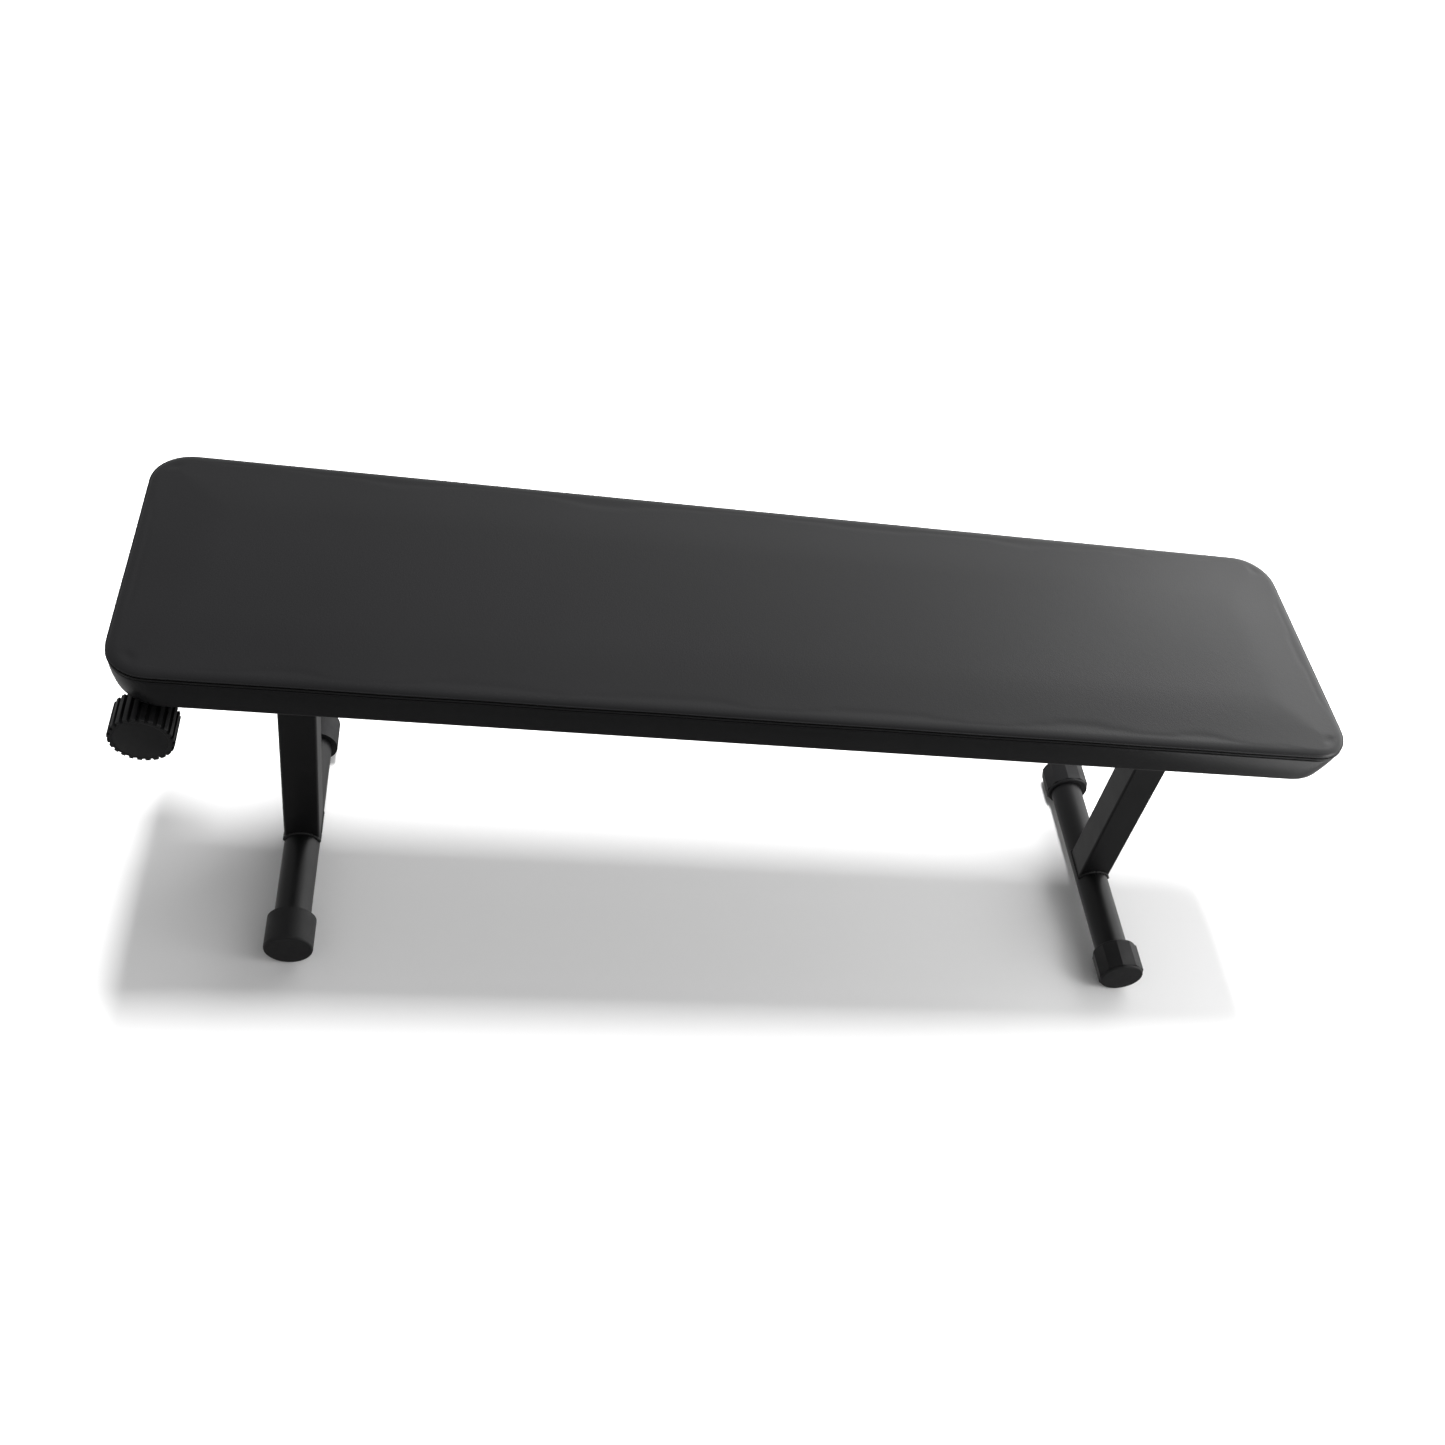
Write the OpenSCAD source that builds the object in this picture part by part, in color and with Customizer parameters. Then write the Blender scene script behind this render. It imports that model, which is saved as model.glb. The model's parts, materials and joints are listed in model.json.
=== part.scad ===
// Flat weight bench that folds for storage. X runs along the pad, from the
// roller end (head, -X) to the levelling end (tail, +X). Z is up, and z = 0 is
// the floor. The origin is on the floor, under the middle of the pad.

/* [Pad] */
// Length of the pad
pad_l = 1160; // [1120:10:1200]
// Width of the pad
pad_w = 281; // [272:1:290]
// Radius of the pad's corners, seen from above
pad_corner_r = 40; // [34:1:56]
// Height of the plain band round the pad's side
pad_band_h = 35; // [32:1:38]
// Rise of the cushion's middle above the band
pad_crown = 9; // [6:1:12]
// Thickness of the plywood board inside the pad
board_t = 12; // [9:1:15]
// Radius of the board's corners, larger than the cushion's
board_corner_r = 54; // [45:1:60]
// Thickness of the cover, and of the dust cloth under the pad
cover_t = 1; // [0.8:0.1:1.2]
// Width of the cover's hem, turned under the board
hem_w = 24; // [22:1:26]
// Distance between neighbouring staples in the hem
staple_pitch = 50; // [40:5:60]

/* [Frame] */
// Outer size of the square tubes, and diameter of the round ones
tube = 38; // [37:1:39]
// Wall thickness of the tubes
wall = 2; // [1.5:0.5:2.5]
// Outer corner radius of the square tubes
tube_corner_r = 2.5; // [2:0.5:3.5]
// Height of the main beam's centre line above the floor
beam_z = 355; // [350:1:360]
// Length of beam past the tail leg's pivot
beam_overhang = 50; // [48:1:60]
// Length of a pad rail, across the bench
rail_l = 220; // [200:5:230]
// Width of a pad rail
rail_w = 40; // [36:1:44]
// Height of a pad rail
rail_h = 17; // [16:1:20]
// Distance between neighbouring pad rails
rail_pitch = 400; // [360:10:420]
// Distance between a rail's two pad bolts
pad_bolt_gap = 150; // [120:5:170]

/* [Legs] */
// Distance of the head leg's pivot from the middle of the bench
head_leg_x = 440; // [430:1:450]
// Distance of the tail leg's pivot from the middle of the bench
tail_leg_x = 475; // [465:1:480]
// Outward lean of the tail leg, from its pivot to its foot
tail_run = 26; // [0:1:30]
// Height of the beam's centre line above the leg pivots
pivot_drop = 45; // [44:1:47]
// Width of the feet, over their end caps
foot_w = 312; // [300:2:330]
// Radius of the foot caps, which is the height of a foot's centre line
foot_cap_r = 25.4; // [24.5:0.1:27]
// Length of a foot cap
foot_cap_l = 38; // [34:1:42]
// Distance of a levelling cap's bore from its centre
level_ecc = 2.5; // [1:0.5:3]
// Number of flats round a levelling cap
level_flats = 10; // [8, 10, 12]

/* [Rollers] */
// Radius of a roller
roller_r = 28; // [27:1:31]
// Width of a roller's grooved rim
roller_w = 32; // [28:1:34]
// Number of grooves round a roller
roller_grooves = 24; // [18:1:28]
// Distance from the middle of the bench to a roller's outer face
roller_face_y = 150; // [148:1:156]

/* [Clamps] */
// Distance from a leg's pivot to its clamp stud
clamp_r = 32; // [31:1:33]
// Radius of a bracket's ears, round the pivot
ear_r = 43; // [42:1:46]
// Radius of the clamp knob's middle
knob_r = 14; // [12:1:15]
// Number of lobes round the clamp knob
knob_lobes = 7; // [5:1:8]

/* [Hidden] */
$fn = 96;

// Small distances
cut = 1;             // how far a cutter runs past a face
gap = 0.3;           // space between faces that move past each other
pivot_gap = 0.05;    // running clearance of a shaft, on the radius

// Heights
half = tube / 2;
beam_top = beam_z + half;
beam_bottom = beam_z - half;
pad_z = beam_top + rail_h;
board_z = pad_z + cover_t;
pad_top = pad_z + pad_band_h + pad_crown;
pivot_z = beam_z - pivot_drop;

// Legs
leg_rise = pivot_z - foot_cap_r;
tail_len = sqrt(leg_rise * leg_rise + tail_run * tail_run);
tail_tilt = atan2(tail_run, leg_rise);
tail_foot_x = tail_leg_x + tail_run;
leg_head = 11;       // length of leg above its pivot
saddle = 6;          // height of a coped end above the round tube's centre
bead = 3;            // leg of a weld bead

// Feet
foot_end_wall = 4;
foot_cap_y = foot_w / 2 - foot_cap_l;
foot_tube_y = foot_w / 2 - foot_end_wall - gap;
cap_round = 3;
level_rim = 3;
rim_step = 0.4;      // how far the flats stand out past the rims
rim_edge = [1.5, 2]; // rounding of the inner rim and of the outer one

// Pivot hardware: an M10 bolt in a welded sleeve
m10_r = 5;
m10_af = 17;
m10_head = 6.4;
m10_nut = 10;
m10_washer = [10.5, 2];
bush_r = 8;
ear_t = 3;
ear_play = 0.7;      // space between a leg and each ear
ear_y = half + ear_play;
bolt_tail = 2;
bush_stand = 0.4;    // how far the sleeve stands out of each side of its leg

// Clamp hardware: an M8 stud in a curved slot
m8_r = 4;
m8_af = 13;
m8_nut = 6.5;
m8_washer = [8, 1.6];
slot_play = 0.4;
slot_r = m8_r + slot_play;
slot_steps = 24;
knob_hub = [10, 10];
knob_head = 18;
lobe_r = 5.5;
lobe_drop = 2;       // how far a lobe's top lies below the knob's
knob_edge = 2;
stud_tail = 2;       // length of stud past its nut

// Pad hardware
m8_head = 5.3;
bolt_short = 2;      // how far a pad bolt ends below the board's top
t_nut_r = 5;
t_nut_h = 9;
t_nut_flange = [10, 1.2];
rail_wall = 1.5;
staple = [11, 1.3, 0.6];
staple_inset = 13;

// Rollers
roller_x = roller_r - pad_l / 2;
roller_neck_l = 10;
cross_y = roller_face_y - roller_w - roller_neck_l;
insert_l = 14;
roller_washer = [12, 1.5];
roller_seat = cross_y + roller_washer[1] + gap;
roller_neck_r = 21;
roller_disc = [23, 2];
roller_recess = [10.5, 6];
roller_head = [8.5, 4.8];
head_edge = 2;
groove = [3.4, 2.8];
groove_lean = 14;
roller_edge = 1.2;

// Plugs
plug_wall = 2;
plug_depth = 16;
plug_flange = 3;
plug_fit = 0.2;

// ---- Helpers ----

// Cylinder along Y, from y0 to y1
module rod_y(r, y0, y1) {
    translate([0, y0, 0]) rotate([-90, 0, 0]) cylinder(r = r, h = y1 - y0);
}

// Ring along Y, from y0 to y1
module ring_y(r, hole, y0, y1) {
    difference() {
        rod_y(r, y0, y1);
        rod_y(hole, y0 - cut, y1 + cut);
    }
}

// Hexagonal prism, across its flats
module hex_prism(af, h) {
    cylinder(r = af / 2 / cos(30), h = h, $fn = 6);
}

// Rectangle with round corners, centred
module round_rect(a, b, r) {
    square([a - 2 * r, b], center = true);
    square([a, b - 2 * r], center = true);
    for (x = [-1, 1], y = [-1, 1])
        translate([x * (a / 2 - r), y * (b / 2 - r)]) circle(r);
}

// Solid of revolution with one rounded rim, standing on z = 0
module round_block(r, h, edge) {
    rotate_extrude() {
        square([r - edge, h]);
        square([r, h - edge]);
        translate([r - edge, h - edge]) circle(edge);
    }
}

// Cross section of the square tube
module tube_section() {
    difference() {
        round_rect(tube, tube, tube_corner_r);
        square(tube - 2 * wall, center = true);
    }
}

// Puts what is built along +Z, from the centre plane, on the front or rear side
module facing(side) {
    rotate([-90 * side, 0, 0]) children();
}

module at_head_pivot() { translate([-head_leg_x, 0, pivot_z]) children(); }
module at_tail_pivot() { translate([tail_leg_x, 0, pivot_z]) children(); }
module at_pivots() {
    at_head_pivot() children();
    at_tail_pivot() children();
}

// Everything on the tail leg leans outwards with it
module on_tail_leg() {
    at_tail_pivot() rotate([0, -tail_tilt, 0]) children();
}

module at_pad_bolts() {
    for (i = [-1, 0, 1], s = [-1, 1])
        translate([i * rail_pitch, s * pad_bolt_gap / 2, 0]) children();
}

// ---- Pad ----

// The cushion's outer form, drawn in by an inset: a slab with a crowned top
module pad_form(inset) {
    rise_r = (pad_w * pad_w / 4 + pad_crown * pad_crown) / (2 * pad_crown);
    intersection() {
        translate([0, 0, pad_z])
            linear_extrude(pad_top - pad_z)
                round_rect(pad_l - 2 * inset, pad_w - 2 * inset, pad_corner_r - inset);
        translate([0, 0, pad_top - rise_r])
            rotate([0, 90, 0]) cylinder(r = rise_r - inset, h = pad_l, center = true, $fn = 360);
    }
}

// Part of a shape above a height
module above(z) {
    intersection() {
        children();
        translate([-pad_l, -pad_w, z]) cube([2 * pad_l, 2 * pad_w, pad_l]);
    }
}

// Flat panel inside the cover's hem
module hem_opening(z, h) {
    translate([0, 0, z]) linear_extrude(h)
        round_rect(pad_l - 2 * hem_w, pad_w - 2 * hem_w, pad_corner_r - hem_w);
}

module pad_cover() color([0.07, 0.07, 0.07]) difference() {
    pad_form(0);
    above(board_z) pad_form(cover_t);
    hem_opening(pad_z - cut, cover_t + 2 * cut);
}

module pad_foam() color([0.85, 0.8, 0.6]) difference() {
    above(board_z + board_t) pad_form(cover_t);
    at_pad_bolts() translate([0, 0, board_z + board_t - cut])
        cylinder(r = t_nut_flange[0], h = t_nut_flange[1] + cut);
}

module pad_board() color([0.72, 0.55, 0.36]) difference() {
    translate([0, 0, board_z]) linear_extrude(board_t)
        round_rect(pad_l - 2 * cover_t, pad_w - 2 * cover_t, board_corner_r);
    at_pad_bolts() translate([0, 0, board_z - cut]) cylinder(r = t_nut_r, h = board_t + 2 * cut);
}

module dust_cloth() color([0.1, 0.1, 0.1]) difference() {
    hem_opening(pad_z, cover_t);
    at_pad_bolts() translate([0, 0, pad_z - cut]) cylinder(r = t_nut_r, h = cover_t + 2 * cut);
}

module one_staple(turn) {
    rotate([0, 0, turn]) translate([0, 0, -staple[2] / 2]) cube(staple, center = true);
}

module pad_staples() color("silver") translate([0, 0, pad_z]) {
    long_n = floor((pad_l / 2 - pad_corner_r) / staple_pitch);
    short_n = floor((pad_w / 2 - pad_corner_r) / staple_pitch);
    for (i = [-long_n : long_n], s = [-1, 1])
        translate([i * staple_pitch, s * (pad_w / 2 - staple_inset), 0]) one_staple(0);
    for (i = [-short_n : short_n], s = [-1, 1])
        translate([s * (pad_l / 2 - staple_inset), i * staple_pitch, 0]) one_staple(90);
}

module pad_bolts() color("silver") at_pad_bolts() {
    washer_z = beam_top - m8_washer[1];
    translate([0, 0, washer_z]) cylinder(r = m8_r, h = board_z + board_t - bolt_short - washer_z);
    translate([0, 0, washer_z - m8_head]) hex_prism(m8_af, m8_head);
}

module pad_washers() color("silver") at_pad_bolts()
    translate([0, 0, beam_top - m8_washer[1]]) difference() {
        cylinder(r = m8_washer[0], h = m8_washer[1]);
        translate([0, 0, -cut]) cylinder(r = slot_r, h = m8_washer[1] + 2 * cut);
    }

module pad_t_nuts() color("silver") at_pad_bolts() translate([0, 0, board_z + board_t]) difference() {
    union() {
        cylinder(r = t_nut_flange[0], h = t_nut_flange[1]);
        translate([0, 0, -t_nut_h]) cylinder(r = t_nut_r, h = t_nut_h);
    }
    translate([0, 0, -t_nut_h - cut]) cylinder(r = m8_r, h = t_nut_h + t_nut_flange[1] + 2 * cut);
}

// ---- Frame ----

module main_beam() color([0.1, 0.1, 0.1]) difference() {
    beam_from = roller_x + saddle;
    translate([beam_from, 0, beam_z]) rotate([0, 90, 0])
        linear_extrude(tail_leg_x + beam_overhang - beam_from) tube_section();
    translate([roller_x, 0, beam_z]) rod_y(half, -tube, tube);
}

module head_cross_tube() color([0.1, 0.1, 0.1])
    translate([roller_x, 0, beam_z]) ring_y(half, half - wall, -cross_y, cross_y);

module pad_rail(i) color([0.1, 0.1, 0.1]) translate([i * rail_pitch, 0, 0]) difference() {
    translate([0, rail_l / 2, beam_top + rail_h / 2]) rotate([90, 0, 0]) linear_extrude(rail_l) difference() {
        round_rect(rail_w, rail_h, tube_corner_r);
        square([rail_w - 2 * rail_wall, rail_h - 2 * rail_wall], center = true);
    }
    for (s = [-1, 1]) translate([0, s * pad_bolt_gap / 2, beam_top - cut])
        cylinder(r = slot_r, h = rail_h + 2 * cut);
}
module head_rail() pad_rail(-1);
module mid_rail() pad_rail(0);
module tail_rail() pad_rail(1);

// End plug for a rectangular tube, outer size a by b, that goes in along -Z
module tube_plug(a, b, tube_wall, flange) {
    in_a = a - 2 * tube_wall - 2 * plug_fit;
    in_b = b - 2 * tube_wall - 2 * plug_fit;
    linear_extrude(flange) round_rect(a, b, tube_corner_r);
    translate([0, 0, -plug_depth]) linear_extrude(plug_depth) difference() {
        square([in_a, in_b], center = true);
        square([in_a - 2 * plug_wall, in_b - 2 * plug_wall], center = true);
    }
}

module rail_plugs() color([0.06, 0.06, 0.06])
    for (i = [-1, 0, 1], s = [-1, 1]) translate([i * rail_pitch, 0, beam_top + rail_h / 2])
        facing(s) translate([0, 0, rail_l / 2]) tube_plug(rail_w, rail_h, rail_wall, plug_flange);

module beam_end_plug() color([0.06, 0.06, 0.06])
    translate([tail_leg_x + beam_overhang, 0, beam_z]) rotate([0, 90, 0])
        tube_plug(tube, tube, wall, plug_flange);

// Folded bracket, round a pivot at the origin. The rear ear has a slot for the
// clamp stud, from the angle "from" through "sweep" degrees
module leg_bracket(from, sweep) {
    top = beam_bottom - pivot_z;
    ear_out = ear_y + ear_t;
    difference() {
        intersection() {
            rod_y(ear_r, -ear_out, ear_out);
            translate([-ear_r, -ear_out, -ear_r]) cube([2 * ear_r, 2 * ear_out, ear_r + top]);
        }
        translate([-ear_r - cut, -ear_y, -ear_r - cut])
            cube([2 * (ear_r + cut), 2 * ear_y, ear_r + cut + top - ear_t]);
        rod_y(m10_r + pivot_gap, -ear_out - cut, ear_out + cut);
        translate([0, ear_y - cut, 0]) rotate([-90, 0, 0]) clamp_slot(from, sweep, ear_t + 2 * cut);
    }
}

// Points along an arc, without its last one
function arc(r, from, to, n, centre) =
    [for (i = [0 : n - 1]) let (a = from + (to - from) * i / n) centre + r * [cos(a), sin(a)]];

// Curved slot in the XY plane. Seen along the pivot, its angles turn clockwise
module clamp_slot(from, sweep, h) {
    to = from + sweep;
    linear_extrude(h) polygon(concat(
        arc(clamp_r + slot_r, from, to, slot_steps, [0, 0]),
        arc(slot_r, to, to + 180, slot_steps, clamp_r * [cos(to), sin(to)]),
        arc(clamp_r - slot_r, to, from, slot_steps, [0, 0]),
        arc(slot_r, from + 180, from + 360, slot_steps, clamp_r * [cos(from), sin(from)])));
}

module head_bracket() color([0.1, 0.1, 0.1]) at_head_pivot() leg_bracket(0, 90);
module tail_bracket() color([0.1, 0.1, 0.1]) at_tail_pivot() leg_bracket(90 - tail_tilt, 90 + tail_tilt);

// Weld beads where a square tube, along +Z, stands on a round one along Y
module saddle_weld() {
    for (s = [-1, 1]) intersection() {
        facing(s) translate([0, 0, half]) rotate_extrude()
            polygon([[half, 0], [half + bead, 0], [half, bead]]);
        translate([-tube, -tube, saddle]) cube(2 * tube);
    }
}

// Straight fillet along X, from the corner at the origin
module fillet_weld(l) {
    rotate([90, 0, 90]) linear_extrude(l, center = true) polygon([[0, 0], [bead, 0], [0, bead]]);
}

module frame_welds() color([0.12, 0.12, 0.12]) {
    rail_run = tube - 2 * tube_corner_r;
    for (i = [-1, 0, 1], s = [0, 1])
        translate([i * rail_pitch, 0, beam_top]) rotate([0, 0, 90 + 180 * s])
            translate([0, rail_w / 2, 0]) fillet_weld(rail_run);
    for (x = [-head_leg_x, tail_leg_x], s = [0, 1])
        translate([x, 0, beam_bottom]) rotate([0, 0, 180 * s]) translate([0, half, 0]) fillet_weld(ear_r);
    translate([roller_x, 0, beam_z]) rotate([0, 90, 0]) saddle_weld();
}

module pivot_bolts() color("dimgray") at_pivots() {
    face = ear_y + ear_t + m10_washer[1];
    rod_y(m10_r, -face, face + m10_nut + bolt_tail);
    facing(-1) translate([0, 0, face]) hex_prism(m10_af, m10_head);
}

module pivot_washers() color("dimgray") at_pivots() for (s = [-1, 1]) facing(s)
    translate([0, 0, ear_y + ear_t]) difference() {
        cylinder(r = m10_washer[0], h = m10_washer[1]);
        translate([0, 0, -cut]) cylinder(r = m10_r + pivot_gap, h = m10_washer[1] + 2 * cut);
    }

module pivot_nuts() color("dimgray") at_pivots()
    translate([0, ear_y + ear_t + m10_washer[1], 0]) facing(1) difference() {
        hex_prism(m10_af, m10_nut);
        translate([0, 0, -cut]) cylinder(r = m10_r, h = m10_nut + 2 * cut);
    }

// ---- Legs and feet ----

// Leg tube in its own frame: pivot at the origin, foot tube "len" below it
module leg_tube(len) difference() {
    translate([0, 0, saddle - len]) linear_extrude(len - saddle + leg_head) tube_section();
    translate([0, 0, -len]) rod_y(half, -tube, tube);
    rod_y(bush_r, -tube, tube);
    translate([0, 0, -clamp_r]) rod_y(slot_r, 0, tube);
}

module leg_bush() ring_y(bush_r, m10_r + pivot_gap, -half - bush_stand, half + bush_stand);

module foot_tube() ring_y(half, half - wall, -foot_tube_y, foot_tube_y);

// Nut welded inside the leg's rear wall
module clamp_nut() translate([0, half - wall - m8_nut, -clamp_r]) facing(1) difference() {
    hex_prism(m8_af, m8_nut);
    translate([0, 0, -cut]) cylinder(r = m8_r + pivot_gap, h = m8_nut + 2 * cut);
}

// Plain round cap on a foot tube, along +Z from the centre plane
module plain_cap() translate([0, 0, foot_cap_y]) difference() {
    round_block(foot_cap_r, foot_cap_l, cap_round);
    translate([0, 0, -cut]) cylinder(r = half, h = foot_tube_y - foot_cap_y + cut);
}

// Levelling cap: a prism of flats between a round rim at the tube and a round
// outer face, on a bore that is off its centre
module level_cap() translate([0, 0, foot_cap_y]) difference() {
    translate([level_ecc, 0, 0]) {
        translate([0, 0, level_rim]) mirror([0, 0, 1]) round_block(foot_cap_r - rim_step, level_rim, rim_edge[0]);
        translate([0, 0, level_rim]) rotate([0, 0, 90 - 180 / level_flats])
            cylinder(r = foot_cap_r / cos(180 / level_flats), h = foot_cap_l - 2 * level_rim, $fn = level_flats);
        translate([0, 0, foot_cap_l - level_rim]) round_block(foot_cap_r - rim_step, level_rim, rim_edge[1]);
    }
    translate([0, 0, -cut]) cylinder(r = half + pivot_gap, h = foot_cap_l - foot_end_wall + cut);
}

module head_leg() color([0.1, 0.1, 0.1]) at_head_pivot() leg_tube(leg_rise);
module head_leg_bush() color("gray") at_head_pivot() leg_bush();
module head_foot_tube() color([0.1, 0.1, 0.1])
    at_head_pivot() translate([0, 0, -leg_rise]) foot_tube();
module head_foot_caps() color([0.06, 0.06, 0.06])
    at_head_pivot() translate([0, 0, -leg_rise]) for (s = [-1, 1]) facing(s) plain_cap();
module head_leg_welds() color([0.12, 0.12, 0.12])
    at_head_pivot() translate([0, 0, -leg_rise]) saddle_weld();
module head_clamp_nut() color("silver") at_head_pivot() clamp_nut();

module tail_leg() color([0.1, 0.1, 0.1]) on_tail_leg() leg_tube(tail_len);
module tail_leg_bush() color("gray") on_tail_leg() leg_bush();
module tail_foot_tube() color([0.1, 0.1, 0.1]) on_tail_leg() translate([0, 0, -tail_len]) foot_tube();
module tail_leg_welds() color([0.12, 0.12, 0.12])
    on_tail_leg() translate([0, 0, -tail_len]) saddle_weld();
module tail_clamp_nut() color("silver") on_tail_leg() clamp_nut();

module front_level_cap() color([0.06, 0.06, 0.06])
    translate([tail_foot_x, 0, foot_cap_r]) facing(-1) level_cap();
module rear_level_cap() color([0.06, 0.06, 0.06])
    translate([tail_foot_x, 0, foot_cap_r]) facing(1) level_cap();

// ---- Clamp knobs, along +Z from the centre plane, in a leg's frame ----

knob_seat = ear_y + ear_t + gap;

module in_clamp() { translate([0, 0, -clamp_r]) facing(1) children(); }

module clamp_washer() translate([0, 0, knob_seat]) difference() {
    cylinder(r = m8_washer[0], h = m8_washer[1]);
    translate([0, 0, -cut]) cylinder(r = m8_r, h = m8_washer[1] + 2 * cut);
}

module clamp_stud() {
    stud_from = half - wall - m8_nut - stud_tail;
    translate([0, 0, stud_from])
        cylinder(r = m8_r, h = knob_seat + m8_washer[1] + knob_hub[1] + knob_head / 2 - stud_from);
}

module clamp_knob() translate([0, 0, knob_seat + m8_washer[1]]) difference() {
    union() {
        cylinder(r = knob_hub[0], h = knob_hub[1]);
        translate([0, 0, knob_hub[1]]) {
            round_block(knob_r, knob_head, knob_edge);
            for (i = [0 : knob_lobes - 1]) rotate([0, 0, i * 360 / knob_lobes])
                translate([knob_r, 0, 0]) round_block(lobe_r, knob_head - lobe_drop, knob_edge);
        }
    }
    translate([0, 0, -cut]) cylinder(r = m8_r, h = knob_hub[1] + knob_head / 2 + cut);
}

module head_knob() color([0.06, 0.06, 0.06]) at_head_pivot() in_clamp() clamp_knob();
module head_knob_stud() color("silver") at_head_pivot() in_clamp() clamp_stud();
module head_knob_washer() color("silver") at_head_pivot() in_clamp() clamp_washer();
module tail_knob() color([0.06, 0.06, 0.06]) on_tail_leg() in_clamp() clamp_knob();
module tail_knob_stud() color("silver") on_tail_leg() in_clamp() clamp_stud();
module tail_knob_washer() color("silver") on_tail_leg() in_clamp() clamp_washer();

// ---- Rollers, along +Z from the centre plane ----

disc_z = roller_face_y - roller_disc[1];
recess_z = disc_z - roller_recess[1];

module at_roller(side) { translate([roller_x, 0, beam_z]) facing(side) children(); }

module roller_groove() {
    translate([roller_r, 0, roller_face_y - roller_w / 2]) rotate([0, 0, groove_lean])
        cube([2 * groove[1], groove[0], roller_w + 2 * cut], center = true);
}

module roller() difference() {
    union() {
        translate([0, 0, roller_seat]) cylinder(r = roller_neck_r, h = roller_face_y - roller_w - roller_seat);
        translate([0, 0, roller_face_y - roller_w]) round_block(roller_r, roller_w, roller_edge);
    }
    for (i = [0 : roller_grooves - 1]) rotate([0, 0, i * 360 / roller_grooves]) roller_groove();
    translate([0, 0, roller_seat - cut]) cylinder(r = m10_r + pivot_gap, h = roller_face_y - roller_seat + 2 * cut);
    translate([0, 0, recess_z]) cylinder(r = roller_recess[0], h = roller_recess[1] + cut);
    translate([0, 0, disc_z]) cylinder(r = roller_disc[0], h = roller_disc[1] + cut);
}

module roller_cover_disc() translate([0, 0, disc_z]) cylinder(r = roller_disc[0], h = roller_disc[1]);

module front_roller() color([0.06, 0.06, 0.06]) at_roller(-1) roller();
module front_roller_disc() color([0.08, 0.08, 0.08]) at_roller(-1) roller_cover_disc();
module rear_roller() color([0.06, 0.06, 0.06]) at_roller(1) roller();
module rear_roller_disc() color([0.08, 0.08, 0.08]) at_roller(1) roller_cover_disc();

// Shoulder bolts: thread, shoulder and button head
module roller_bolts() color("silver") for (s = [-1, 1]) at_roller(s) {
    translate([0, 0, cross_y - insert_l]) cylinder(r = m8_r, h = insert_l);
    translate([0, 0, cross_y]) cylinder(r = m10_r, h = recess_z + gap - cross_y);
    translate([0, 0, recess_z + gap]) round_block(roller_head[0], roller_head[1], head_edge);
}

module roller_washers() color("silver") for (s = [-1, 1]) at_roller(s)
    translate([0, 0, cross_y]) difference() {
        cylinder(r = roller_washer[0], h = roller_washer[1]);
        translate([0, 0, -cut]) cylinder(r = m10_r + pivot_gap, h = roller_washer[1] + 2 * cut);
    }

// Threaded plugs pressed into the cross tube's ends
module cross_tube_inserts() color("gray") for (s = [-1, 1]) at_roller(s)
    translate([0, 0, cross_y - insert_l]) difference() {
        cylinder(r = half - wall, h = insert_l);
        translate([0, 0, -cut]) cylinder(r = m8_r, h = insert_l + 2 * cut);
    }

main_beam();
head_cross_tube();
head_rail();
mid_rail();
tail_rail();
rail_plugs();
beam_end_plug();
head_bracket();
tail_bracket();
frame_welds();
cross_tube_inserts();
roller_bolts();
roller_washers();
pivot_bolts();
pivot_washers();
pivot_nuts();
pad_board();
pad_foam();
pad_cover();
dust_cloth();
pad_staples();
pad_bolts();
pad_washers();
pad_t_nuts();
head_leg();
head_leg_bush();
head_foot_tube();
head_foot_caps();
head_leg_welds();
head_clamp_nut();
head_knob();
head_knob_stud();
head_knob_washer();
tail_leg();
tail_leg_bush();
tail_foot_tube();
tail_leg_welds();
tail_clamp_nut();
tail_knob();
tail_knob_stud();
tail_knob_washer();
front_level_cap();
rear_level_cap();
front_roller();
front_roller_disc();
rear_roller();
rear_roller_disc();
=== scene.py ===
"""Looks of a flat weight bench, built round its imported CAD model. Lengths are metres."""
import json
import math

import bmesh
import bpy
from mathutils import Matrix, Vector, noise


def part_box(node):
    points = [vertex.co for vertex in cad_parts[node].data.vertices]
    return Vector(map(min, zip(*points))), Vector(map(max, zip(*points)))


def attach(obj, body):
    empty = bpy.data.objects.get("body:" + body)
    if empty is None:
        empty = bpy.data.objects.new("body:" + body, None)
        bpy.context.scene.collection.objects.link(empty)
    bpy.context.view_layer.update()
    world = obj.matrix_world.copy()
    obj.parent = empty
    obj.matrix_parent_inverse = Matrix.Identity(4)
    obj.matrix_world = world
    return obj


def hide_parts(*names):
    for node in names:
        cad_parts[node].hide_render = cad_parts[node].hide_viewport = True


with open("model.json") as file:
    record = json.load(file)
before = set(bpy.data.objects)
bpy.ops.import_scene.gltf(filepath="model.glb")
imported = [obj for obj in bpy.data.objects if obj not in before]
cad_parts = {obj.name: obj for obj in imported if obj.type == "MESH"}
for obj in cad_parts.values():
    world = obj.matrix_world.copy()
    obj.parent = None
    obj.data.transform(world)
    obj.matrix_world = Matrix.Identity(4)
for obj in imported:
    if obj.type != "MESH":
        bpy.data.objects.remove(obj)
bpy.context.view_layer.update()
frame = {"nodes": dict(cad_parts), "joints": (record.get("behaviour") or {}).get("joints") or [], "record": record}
NODES = frame["nodes"]
BODIES = frame["record"]["behaviour"]["bodies"]
JOINTS = {joint["name"]: joint for joint in frame["joints"]}
MM = 0.001


# ---------------------------------------------------------------- small helpers

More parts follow.
